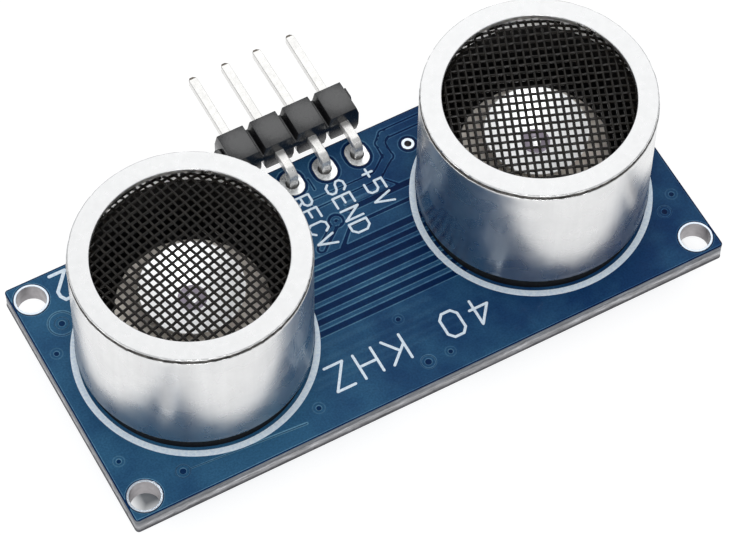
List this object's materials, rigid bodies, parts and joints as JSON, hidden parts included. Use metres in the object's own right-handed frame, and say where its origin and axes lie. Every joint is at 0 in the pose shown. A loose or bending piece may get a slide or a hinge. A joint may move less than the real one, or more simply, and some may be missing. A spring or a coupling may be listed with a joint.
{
  "type": "ultrasonic distance sensor",
  "caption": "Small ultrasonic distance sensor: a blue circuit board with side-by-side open-faced transducers in metal cans and a right-angle pin header on its long edge.",
  "frame": {"origin": "centre of the circuit board's front face, midway between the transducers", "axes": "+X along the board towards the transmitter, +Y towards the header's edge, +Z out of the front face, the way the transducers point"},
  "size_m": [0.045, 0.0287, 0.0151],
  "materials": {
    "board_laminate": "blue solder mask over fibreglass",
    "can_aluminium": "satin",
    "screen_wire": "black woven wire",
    "cone_aluminium": "bright satin",
    "piezo_ceramic": "matt",
    "silicone": "matt, milky",
    "base_plastic": "matt black",
    "header_plastic": "matt black",
    "pin_metal": "tin plated",
    "solder": "bright solder",
    "lead_copper": "bare copper",
    "chip_epoxy": "moulded epoxy",
    "crystal_case": "satin can",
    "chip_resistor": "black glaze with tinned ends",
    "chip_capacitor": "tan ceramic with tinned ends"
  },
  "bodies": {
    "root": {"circuit_board": "board_laminate", "receiver_can": "can_aluminium", "receiver_mesh": "screen_wire", "receiver_cone": "cone_aluminium", "receiver_plate": "cone_aluminium", "receiver_piezo": "piezo_ceramic", "receiver_damper": "silicone", "receiver_base": "base_plastic", "receiver_terminal_inner": "pin_metal", "receiver_solder_inner": "solder", "receiver_lead_inner": "lead_copper", "receiver_terminal_outer": "pin_metal", "receiver_solder_outer": "solder", "receiver_lead_outer": "lead_copper", "transmitter_can": "can_aluminium", "transmitter_mesh": "screen_wire", "transmitter_cone": "cone_aluminium", "transmitter_plate": "cone_aluminium", "transmitter_piezo": "piezo_ceramic", "transmitter_damper": "silicone", "transmitter_base": "base_plastic", "transmitter_terminal_inner": "pin_metal", "transmitter_solder_inner": "solder", "transmitter_lead_inner": "lead_copper", "transmitter_terminal_outer": "pin_metal", "transmitter_solder_outer": "solder", "transmitter_lead_outer": "lead_copper", "header_housing": "header_plastic", "header_pin_1": "pin_metal", "header_solder_1": "solder", "header_pin_2": "pin_metal", "header_solder_2": "solder", "header_pin_3": "pin_metal", "header_solder_3": "solder", "header_pin_4": "pin_metal", "header_solder_4": "solder", "amplifier_chip": "chip_epoxy", "controller_chip": "chip_epoxy", "driver_chip": "chip_epoxy", "transistor": "chip_epoxy", "crystal": "crystal_case", "resistor_1": "chip_resistor", "resistor_2": "chip_resistor", "resistor_3": "chip_resistor", "resistor_4": "chip_resistor", "resistor_5": "chip_resistor", "resistor_6": "chip_resistor", "resistor_7": "chip_resistor", "resistor_8": "chip_resistor", "resistor_9": "chip_resistor", "resistor_10": "chip_resistor", "capacitor_1": "chip_capacitor", "capacitor_2": "chip_capacitor", "capacitor_3": "chip_capacitor", "capacitor_4": "chip_capacitor", "capacitor_5": "chip_capacitor", "capacitor_6": "chip_capacitor", "capacitor_7": "chip_capacitor", "capacitor_8": "chip_capacitor"}
  },
  "joints": []
}
